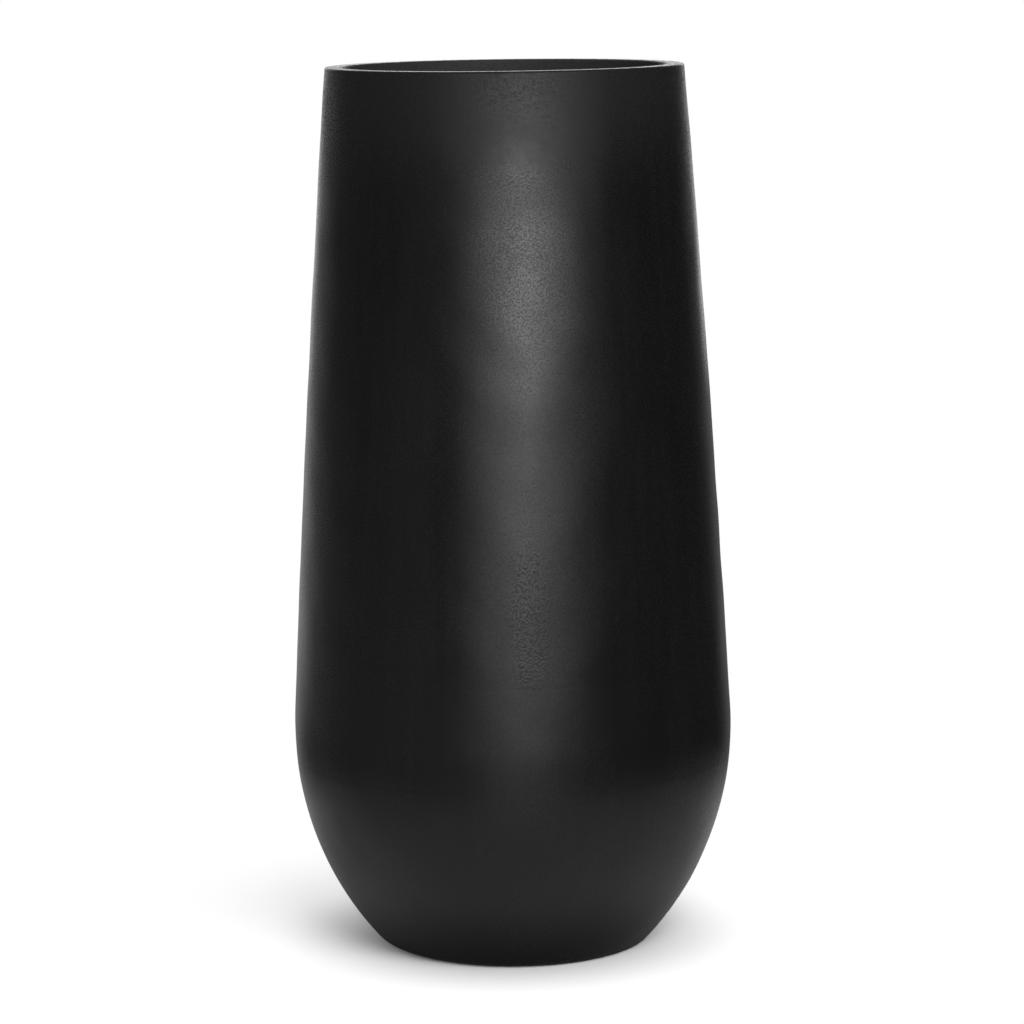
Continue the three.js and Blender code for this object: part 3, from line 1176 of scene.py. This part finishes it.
    def band_outline(self) -> list[Stretch]:
        """The laminate band: both feathered edges wander with the azimuth.

        The wander is the mean of seeded sines of the azimuth. The feather's thickness is a
        quarter turn of a sine of the share of its width.
        """
        rng = np.random.default_rng(self.wander_seed)
        shape = (2, self.wander_sines, 1)
        turns = rng.integers(*self.wander_turns, shape)
        phase = rng.uniform(0, 2 * np.pi, shape)
        wander = self.band_wander * np.sin(turns * azimuths(self.columns) + phase).mean(1)
        middle = self.seam_height + self.lap / 2
        low = middle - self.band_height / 2 + wander[0]
        high = middle + self.band_height / 2 + wander[1]
        back = self.wall + self.gap
        face, edge = back + self.band_thickness, back + self.band_edge
        share = column(np.linspace(0, 1, self.feather_steps + 1))
        swell = share * np.pi / 2
        form, feather = self.form, self.band_feather
        return [
            form.wall(low, high, back, self.inner_spacing),
            Stretch(*form.inside(high - feather * share, edge + (face - edge) * np.sin(swell))),
            form.wall(high - feather, low + feather, face, self.inner_spacing),
            Stretch(*form.inside(low + feather * (1 - share),
                                 face - (face - edge) * (1 - np.cos(swell)))),
        ]

    def board(self) -> bpy.types.Object:
        """The base board, with its top edge rounded over and the drain drilled through."""
        centre = self.form.floor_corner(self.floor_top, self.wall,
                                        np.array(self.inner_corner))[1]
        reach = float(centre[0]) - self.board_margin
        low = self.floor_top + self.gap
        high = low + self.board_thickness
        bevel, (top_edge, hole_edge) = self.board_hole_bevel, self.board_hole_edges
        outline = rounded([
            (self.drain, low, 0),
            (reach, low, self.board_under_edge),
            (reach, high, self.board_edge),
            (self.drain + bevel, high, top_edge),
            (self.drain, high - bevel, hole_edge),
            (self.drain, low + bevel, 0),
        ])
        radius, height, finish = rings([Stretch(*outline)], self.columns // 2)
        return build_piece("base_board_coated", turned(radius, height), Ends.LOOP, finish)

    def build(self, finishes: dict[Slot, bpy.types.Material]) -> None:
        """Builds and dresses every piece of the vessel.

        Args:
            finishes: the material of each slot.
        """
        shells = [finishes[Slot.SHELL], finishes[Slot.LAMINATE]]
        seat(self.carried_round("upper_shell_skin", self.upper_outline()), Body.VESSEL,
             ("upper_shell",), shells)
        seat(self.carried_round("lower_shell_skin", self.lower_outline()), Body.VESSEL,
             ("lower_shell",), shells)
        seat(self.carried_round("joint_band_laminate", self.band_outline()), Body.VESSEL,
             ("joint_band",), [finishes[Slot.LAMINATE]])
        seat(self.board(), Body.VESSEL, ("base_board",), [finishes[Slot.BOARD]])
        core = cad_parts["rim_core"]
        core.data.materials.clear()
        core.data.materials.append(finishes[Slot.FOAM])
        log.info("%s keeps its packed shape", core.name)


@dataclass
class DrainPlug:
    """The rubber plug: a round head, a ribbed shank with a blind hole, and a pull bar."""

    low: float
    high: float
    head_radius: float
    columns: int = 96
    head_thickness: float = 3.4 * MM
    head_edge: float = 1.1 * MM
    shank: float = 13.7 * MM
    neck: float = 1 * MM
    neck_corner: float = 0.4 * MM
    rib_depth: float = 1 * MM
    rib_count: int = 3
    rib_rows: int = 16
    rib_flatness: float = 1.5
    nose_radius: float = 4 * MM
    nose_steps: int = 8
    core: float = 8 * MM
    core_corner: float = 1.5 * MM
    core_edge: float = 0.6 * MM
    tip: float = 6 * MM
    bar_length: float = 17 * MM
    bar_width: float = 4 * MM
    bar_depth: float = 3 * MM
    bar_lift: float = 0.6 * MM
    bar_swell: float = 0.35
    bar_columns: int = 24
    bar_rows: int = 15
    bar_sharp_from: float = 50.0

    def ribs(self, start: float, end: float) -> tuple[np.ndarray, np.ndarray]:
        """The shank's ribs: shank - depth ((1 + cos t) / 2)^flatness, with rounded crests."""
        share = column(np.linspace(0, 1, self.rib_rows * self.rib_count + 1))
        swing = (1 + np.cos(2 * np.pi * self.rib_count * share)) / 2
        return (self.shank - self.rib_depth * swing**self.rib_flatness,
                start + (end - start) * share)

    def outline(self) -> list[Stretch]:
        """From the blind hole's roof, down it, round the head and up over the nose."""
        head_top, roof = self.low + self.head_thickness, self.high - self.tip
        nose = (self.shank - self.nose_radius, self.high - self.nose_radius)
        neck_radius, neck_top = self.shank - self.rib_depth, head_top + self.neck
        under = rounded([
            (0, roof, 0),
            (self.core, roof, self.core_corner),
            (self.core, self.low, self.core_edge),
            (self.head_radius, self.low, self.head_edge),
            (self.head_radius, head_top, self.head_edge),
            (neck_radius, head_top, self.neck_corner),
            (neck_radius, neck_top, 0),
        ])
        ribs = self.ribs(neck_top, nose[1])
        return [
            Stretch(*under),
            Stretch(ribs[0][1:-1], ribs[1][1:-1]),
            Stretch(*arc(nose, self.nose_radius, 0, np.pi / 2, self.nose_steps)),
            Stretch(column([0]), column([self.high])),
        ]

    def bar(self) -> bpy.types.Object:
        """The pull bar across the blind hole: a rounded section carried along X.

        The section is |y / a|^4 + |z / b|^4 = 1, and it widens towards both ends by
        1 + swell s^4 for the share s of the half length.
        """
        share = column([-1, *np.linspace(-1, 1, self.bar_rows), 1])
        angle = azimuths(self.bar_columns)
        grow = 1 + self.bar_swell * share**4
        across, upward = (np.sign(part) * np.abs(part) ** 0.5
                          for part in (np.cos(angle), np.sin(angle)))
        middle = self.low + self.bar_lift + self.bar_depth / 2
        points = np.stack(np.broadcast_arrays(
            share * self.bar_length / 2,
            grow * across * self.bar_width / 2,
            middle + upward * self.bar_depth / 2,
        ), axis=-1)
        return build_piece("drain_plug_bar", points, Ends.AXIS, np.zeros(len(share), int),
                           self.bar_sharp_from)

    def build(self, finishes: dict[Slot, bpy.types.Material]) -> None:
        """Builds and dresses the plug and its bar.

        Args:
            finishes: the material of each slot.
        """
        radius, height, finish = rings(self.outline(), self.columns)
        body = build_piece("drain_plug_body", turned(radius, height), Ends.AXIS, finish)
        for piece in (body, self.bar()):
            seat(piece, Body.PLUG, ("drain_plug",), [finishes[Slot.RUBBER]])


# ---------------------------------------------------------------- studio


@dataclass(frozen=True)
class PhotoCamera:
    """The photograph's viewpoint: straight in front, looking a little down."""

    distance: float = 4.244
    height: float = 1.149
    tilt: float = 0.15333
    roll: float = 0.01299
    pan: float = -0.0005
    lens: float = 132.34
    sensor: float = 36.0

    def build(self) -> None:
        """Makes the scene's camera."""
        data = bpy.data.cameras.new("photo_camera")
        data.lens, data.sensor_width = self.lens, self.sensor
        camera = linked("photo_camera", data)
        turn = Matrix.Rotation(self.pan, 4, "Z") @ Matrix.Rotation(
            math.pi / 2 - self.tilt, 4, "X") @ Matrix.Rotation(-self.roll, 4, "Z")
        camera.matrix_world = Matrix.Translation((0, -self.distance, self.height)) @ turn
        bpy.context.scene.camera = camera


def facing(place: tuple, target: tuple) -> tuple[np.ndarray, np.ndarray, np.ndarray]:
    """The right, up and forward directions of a lamp at a place that faces a target."""
    aim = np.array(target) - np.array(place)
    aim /= np.linalg.norm(aim)
    right = np.cross(aim, (0, 0, 1))
    right /= np.linalg.norm(right)
    return right, np.cross(right, aim), aim


def only_reflected(name: str, points: np.ndarray, faces: list,
                   material: bpy.types.Material) -> None:
    """A stage surface that only reflections show."""
    mesh = bpy.data.meshes.new(name)
    mesh.from_pydata(points.tolist(), [], faces)
    mesh.materials.append(material)
    thing = linked(name, mesh)
    thing.visible_camera = thing.visible_diffuse = thing.visible_shadow = False
    thing.visible_transmission = thing.visible_volume_scatter = False


@dataclass(frozen=True)
class Surround:
    """What the black sheen and the floor show of the room round the planter.

    It is brightest behind the planter, and falls off from glow_from degrees off that
    direction to either side. A weaker light comes back at the front left.
    """

    glow_from: float = 22.0
    glow_left_to: float = 61.0
    glow_right_to: float = 54.0
    glow_left: tuple = (0.46, 0.125)
    glow_right: tuple = (0.22, 0.035)
    front_from: float = 98.0
    front_to: float = 140.0
    front_left: float = 0.13
    side_reach: float = 0.8

    def light(self, wires: Wiring, axes: bpy.types.NodeOutputs) -> Socket:
        """How bright the room is in the direction of a place, by the angle off +Y."""
        turn = wires.math("ARCTAN2", wires.math("ABSOLUTE", axes["X"]), axes["Y"])
        start, left_to, right_to, front_from, front_to = (math.radians(angle) for angle in (
            self.glow_from, self.glow_left_to, self.glow_right_to, self.front_from,
            self.front_to))
        left = wires.math("ADD", wires.ramp(turn, start, left_to, *self.glow_left),
                          wires.ramp(turn, front_from, front_to, 0.0, self.front_left))
        right = wires.ramp(turn, start, right_to, *self.glow_right)
        side = wires.ramp(axes["X"], -self.side_reach, self.side_reach)
        return wires.between(side, left, right)


@dataclass(frozen=True)
class Floor:
    """The floor: shaded near the planter, plain white further off, clear from below.

    It has a window inside the foot ring, so that a view from below finds the recess and
    the plug lit, and it lies a hair under the ring's flat. To the camera it turns white
    further off. To reflections it is shaded at the foot and shows the room further off.
    """

    surround: Surround = Surround()
    reaches: tuple = (118 * MM, 0.5, 2.0, 7.0)
    columns: int = 96
    drop: float = 0.2 * MM
    colour: tuple = (0.8, 0.8, 0.8)
    lift: float = 0.48
    sheen_lift: float = 0.12
    lift_over: tuple = (0.1, 0.3)
    white_over: tuple = (0.2, 0.5)
    dim_over: tuple = (0.25, 1.1)
    # The shade at the foot that reflections show.
    contact_over: tuple = (0.15, 0.27)
    contact_dim: float = 0.18
    behind_over: tuple = (-0.22, 0.05)
    shade_over: tuple = (0.17, 0.6)
    shade_across: tuple = (-0.15, 0.15)
    shade_sides: tuple = (0.15, 0.3)
    # The lit lane in front, and the lit floor further off on the left.
    lane_light: float = 0.75
    lane_lean: float = 0.1
    lane_width: float = 0.55
    lane_over: tuple = (-0.6, -0.3)
    left_light: float = 0.14
    left_across: tuple = (-1.2, -0.3)
    left_over: tuple = (1.0, 2.0)

    def around(self, wires: Wiring, axes: bpy.types.NodeOutputs, reach: Socket) -> Socket:
        """What reflections of the floor further off show: the room, the lane, the left."""
        lean = wires.math("DIVIDE", axes["X"], wires.times(axes["Y"], -1.0))
        off_lane = wires.math("ABSOLUTE", wires.math("SUBTRACT", lean, self.lane_lean))
        lane = wires.times(wires.ramp(off_lane, 0.0, self.lane_width, self.lane_light, 0.0),
                           wires.ramp(axes["Y"], *self.lane_over, 1.0, 0.0))
        left = wires.times(wires.ramp(axes["X"], *self.left_across, 1.0, 0.0),
                           wires.ramp(reach, *self.left_over, 0.0, self.left_light))
        lit = wires.math("ADD", self.surround.light(wires, axes), lane)
        return wires.math("ADD", lit, left)

    def contact(self, wires: Wiring, axes: bpy.types.NodeOutputs, reach: Socket) -> Socket:
        """How much of the floor's colour reflections show near the foot, front and back."""
        front = wires.ramp(reach, *self.contact_over, self.contact_dim, 1.0)
        nearest = wires.ramp(axes["X"], *self.shade_across, *self.shade_sides)
        start, end = self.shade_over
        shade = wires.node("MapRange", {"Value": reach, "From Min": start, "From Max": end,
                                        "To Min": nearest, "To Max": 1.0}).outputs["Result"]
        return wires.between(wires.ramp(axes["Y"], *self.behind_over), front, shade)

    def material(self) -> bpy.types.Material:
        """Diffuse near the planter, and a light of its own further off."""
        material, wires = bare_material("pale_floor")
        place = wires.node("TexCoord").outputs["Object"]
        reach, axes = wires.length(place), wires.axes(place)
        path = wires.node("LightPath").outputs
        seen = wires.math("MAXIMUM", path["Is Camera Ray"], path["Is Transmission Ray"])
        mirrored = path["Is Glossy Ray"]
        bare = wires.between(mirrored, 1.0, self.contact(wires, axes, reach))
        paint = wires.node("BsdfDiffuse", {"Color": wires.scaled(self.colour, bare)})
        share = wires.added(seen, self.lift, wires.times(mirrored, self.sheen_lift))
        lift = wires.node("Emission", {
            "Strength": wires.times(wires.ramp(reach, *self.lift_over), share)})
        near = wires.node("AddShader", {0: paint.outputs[0], 1: lift.outputs[0]})
        far = wires.node("Emission", {
            "Strength": wires.added(mirrored, self.around(wires, axes, reach), seen)})
        away = wires.added(wires.ramp(reach, *self.white_over), seen,
                           wires.times(wires.ramp(reach, *self.dim_over), mirrored))
        mixed = wires.node("MixShader", {0: away, 1: near.outputs[0], 2: far.outputs[0]})
        clear = wires.node("BsdfTransparent")
        behind = wires.node("NewGeometry").outputs["Backfacing"]
        both = wires.node("MixShader", {0: behind, 1: mixed.outputs[0], 2: clear.outputs[0]})
        wires.node("OutputMaterial", {"Surface": both.outputs[0]})
        return material

    def build(self) -> None:
        """Makes the floor from rings of faces that look up."""
        shape = (len(self.reaches), self.columns)
        points = turned(np.broadcast_to(column(self.reaches), shape),
                        np.full(shape, -self.drop)).reshape(-1, 3)
        corners, _ = grid_faces(*shape, Ends.AXIS)
        mesh = bpy.data.meshes.new("studio_floor")
        mesh.from_pydata(points.tolist(), [], corners[:, ::-1].tolist())
        mesh.validate()
        mesh.materials.append(self.material())
        floor = linked("studio_floor", mesh)


@dataclass(frozen=True)
class Room:
    """The dim room, open behind the planter, where lit paper stands high up."""

    surround: Surround = Surround()
    radius: float = 6.5
    low: float = -0.5
    height: float = 4.0
    opening: float = 25.0
    columns: int = 96
    ceiling_light: float = 0.08
    ceiling_fade: float = 1.0
    paper_light: float = 2.0
    paper_over: tuple = (1.0, 2.8)

    def walls(self) -> None:
        """The walls, which leave the white open behind the planter, and the ceiling."""
        columns, half = self.columns, math.radians(self.opening)
        azimuth = np.linspace(np.pi / 2 + half, 5 * np.pi / 2 - half, columns)
        wall = np.stack([np.cos(azimuth), np.sin(azimuth)], axis=1) * self.radius
        points = np.concatenate([np.column_stack([wall, np.full(columns, level)])
                                 for level in (self.low, self.height)])
        step = np.arange(columns - 1)
        faces = np.stack([step, step + 1, step + 1 + columns, step + columns], axis=1)
        material, wires = bare_material("room_walls")
        axes = wires.axes(wires.node("TexCoord").outputs["Object"])
        high_up = wires.ramp(axes["Z"], self.height - self.ceiling_fade, self.height)
        wires.glow(wires.between(high_up, self.surround.light(wires, axes),
                                 self.ceiling_light))
        only_reflected("room_walls", points,
                       [*faces.tolist(), list(range(columns, 2 * columns))], material)

    def paper(self) -> None:
        """The lit paper high behind the planter, which the lip's flat top shows."""
        material, wires = bare_material("backdrop_paper")
        wires.glow(self.paper_light)
        half = self.radius * math.sin(math.radians(self.opening))
        low, high = self.paper_over
        points = np.array([(x, self.radius, z) for x, z in (
            (-half, low), (half, low), (half, high), (-half, high))])
        only_reflected("backdrop_paper", points, [[0, 1, 2, 3]], material)


@dataclass(frozen=True)
class SoftBox:
    """The wide soft box in front: a bright line across it that fades to both sides.

    Over its width the light falls as exp(-(aside / spread)^fall), and the spread narrows
    upwards. A weak skirt hangs below the line, and a weak wash lies over its upper part.
    """

    place: tuple = (0.41, -2.35, 0.9)
    target: tuple = (0.0, 0.0, 0.75)
    width: float = 6.0
    height: float = 2.0
    light: float = 23.5
    lean: float = 0.3
    spread: float = 0.84
    narrowing: float = 0.2
    fall: float = 1.4
    core: float = 0.17
    skirt: float = 0.18
    skirt_rise: tuple = (-1.1, -0.55)
    skirt_fall: tuple = (-0.35, -0.1)
    wash: float = 0.1
    wash_over: tuple = (0.0, 0.35)
    wash_spread: float = 2.2

    def strength(self, wires: Wiring, across: Socket, upward: Socket) -> Socket:
        """The light at a place that far across and up from the box's middle."""
        aside = wires.math("ABSOLUTE", wires.added(upward, -self.lean, across))
        spread = wires.added(upward, -self.narrowing, self.spread)
        fall = wires.math("POWER", wires.math("DIVIDE", aside, spread), self.fall)
        fall = wires.math("EXPONENT", wires.times(fall, -1.0))
        wide = wires.math("EXPONENT", wires.math("DIVIDE", aside, -self.wash_spread))
        core = wires.ramp(wires.math("ABSOLUTE", upward), 0.0, self.core, 1.0, 0.0)
        skirt = wires.times(wires.ramp(upward, *self.skirt_rise, 0.0, self.skirt),
                            wires.ramp(upward, *self.skirt_fall, 1.0, 0.0))
        wash = wires.ramp(upward, *self.wash_over, 0.0, self.wash)
        line = wires.times(fall, wires.math("ADD", core, skirt))
        return wires.times(wires.added(wide, wash, line), self.light)

    def build(self) -> None:
        """Makes the box, facing the planter."""
        centre = np.array(self.place)
        right, up, _ = facing(self.place, self.target)
        steps = np.array([(-1, -1), (1, -1), (1, 1), (-1, 1)]) / 2
        points = centre + steps @ np.array([self.width * right, self.height * up])
        material, wires = bare_material("soft_box")
        place = wires.vector("ADD", wires.node("TexCoord").outputs["Object"], tuple(-centre))
        wires.glow(self.strength(wires, wires.dot(place, tuple(right)),
                                 wires.dot(place, tuple(up))))
        only_reflected("soft_box", points, [[0, 1, 2, 3]], material)


@dataclass(frozen=True)
class Studio:
    """The floor, the room, the lights and the white round them."""

    ambient: float = 0.45
    key_place: tuple = (1.4, -3.6, 2.8)
    key_target: tuple = (0.0, 0.0, 0.5)
    key_size: float = 2.6
    key_watts: float = 170.0

    def key_lamp(self) -> None:
        """A square soft lamp aimed at the planter's middle, left out of reflections."""
        data = bpy.data.lights.new("key_lamp", "AREA")
        data.energy, data.size = self.key_watts, self.key_size
        lamp = linked("key_lamp", data)
        right, up, aim = facing(self.key_place, self.key_target)
        turn = Matrix(np.stack([right, up, -aim], axis=1).tolist()).to_4x4()
        lamp.matrix_world = Matrix.Translation(self.key_place) @ turn
        lamp.visible_glossy = False

    def world(self) -> None:
        """White to the camera, to reflections and through glass, and a plain soft light."""
        world = bpy.data.worlds.new("studio_world")
        world.use_nodes = True
        world.node_tree.nodes.clear()
        wires = Wiring(world.node_tree)
        path = wires.node("LightPath").outputs
        seen = wires.math("MAXIMUM", path["Is Camera Ray"], path["Is Transmission Ray"])
        seen = wires.math("MAXIMUM", seen, path["Is Glossy Ray"])
        strength = wires.added(seen, 1 - self.ambient, self.ambient)
        light = wires.node("Background", {"Color": (1, 1, 1), "Strength": strength})
        wires.node("OutputWorld", {"Surface": light.outputs[0]})
        bpy.context.scene.world = world

    def build(self) -> None:
        """Sets up the whole studio."""
        self.world()
        Floor().build()
        Room().walls()
        Room().paper()
        SoftBox().build()
        self.key_lamp()
        bpy.context.scene.view_settings.view_transform = "Standard"


# ---------------------------------------------------------------- assembly


def plug_from_frame() -> DrainPlug:
    """The plug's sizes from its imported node."""
    low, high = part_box("drain_plug")
    return DrainPlug(low=low.z, high=high.z, head_radius=high.x)


def main() -> None:
    """Builds the camera, the finishes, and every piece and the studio."""
    logging.basicConfig(level=logging.INFO, format="%(name)s: %(message)s")
    PhotoCamera().build()
    effects = Effects()
    finishes = {
        Slot.SHELL: WaxedBlack().build(effects),
        Slot.LAMINATE: BareLaminate().build(effects),
        Slot.FOAM: Foam().build(effects),
        Slot.BOARD: CoatedBoard().build(effects),
        Slot.RUBBER: PlugRubber().build(effects),
    }
    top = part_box("upper_shell")[1]
    form = Form(planter_height=top.z, girth_radius=top.x)
    Vessel(form, HandWaves()).build(finishes)
    plug_from_frame().build(finishes)
    Studio().build()
    log.info("sizes written")


if __name__ == "__main__":
    main()
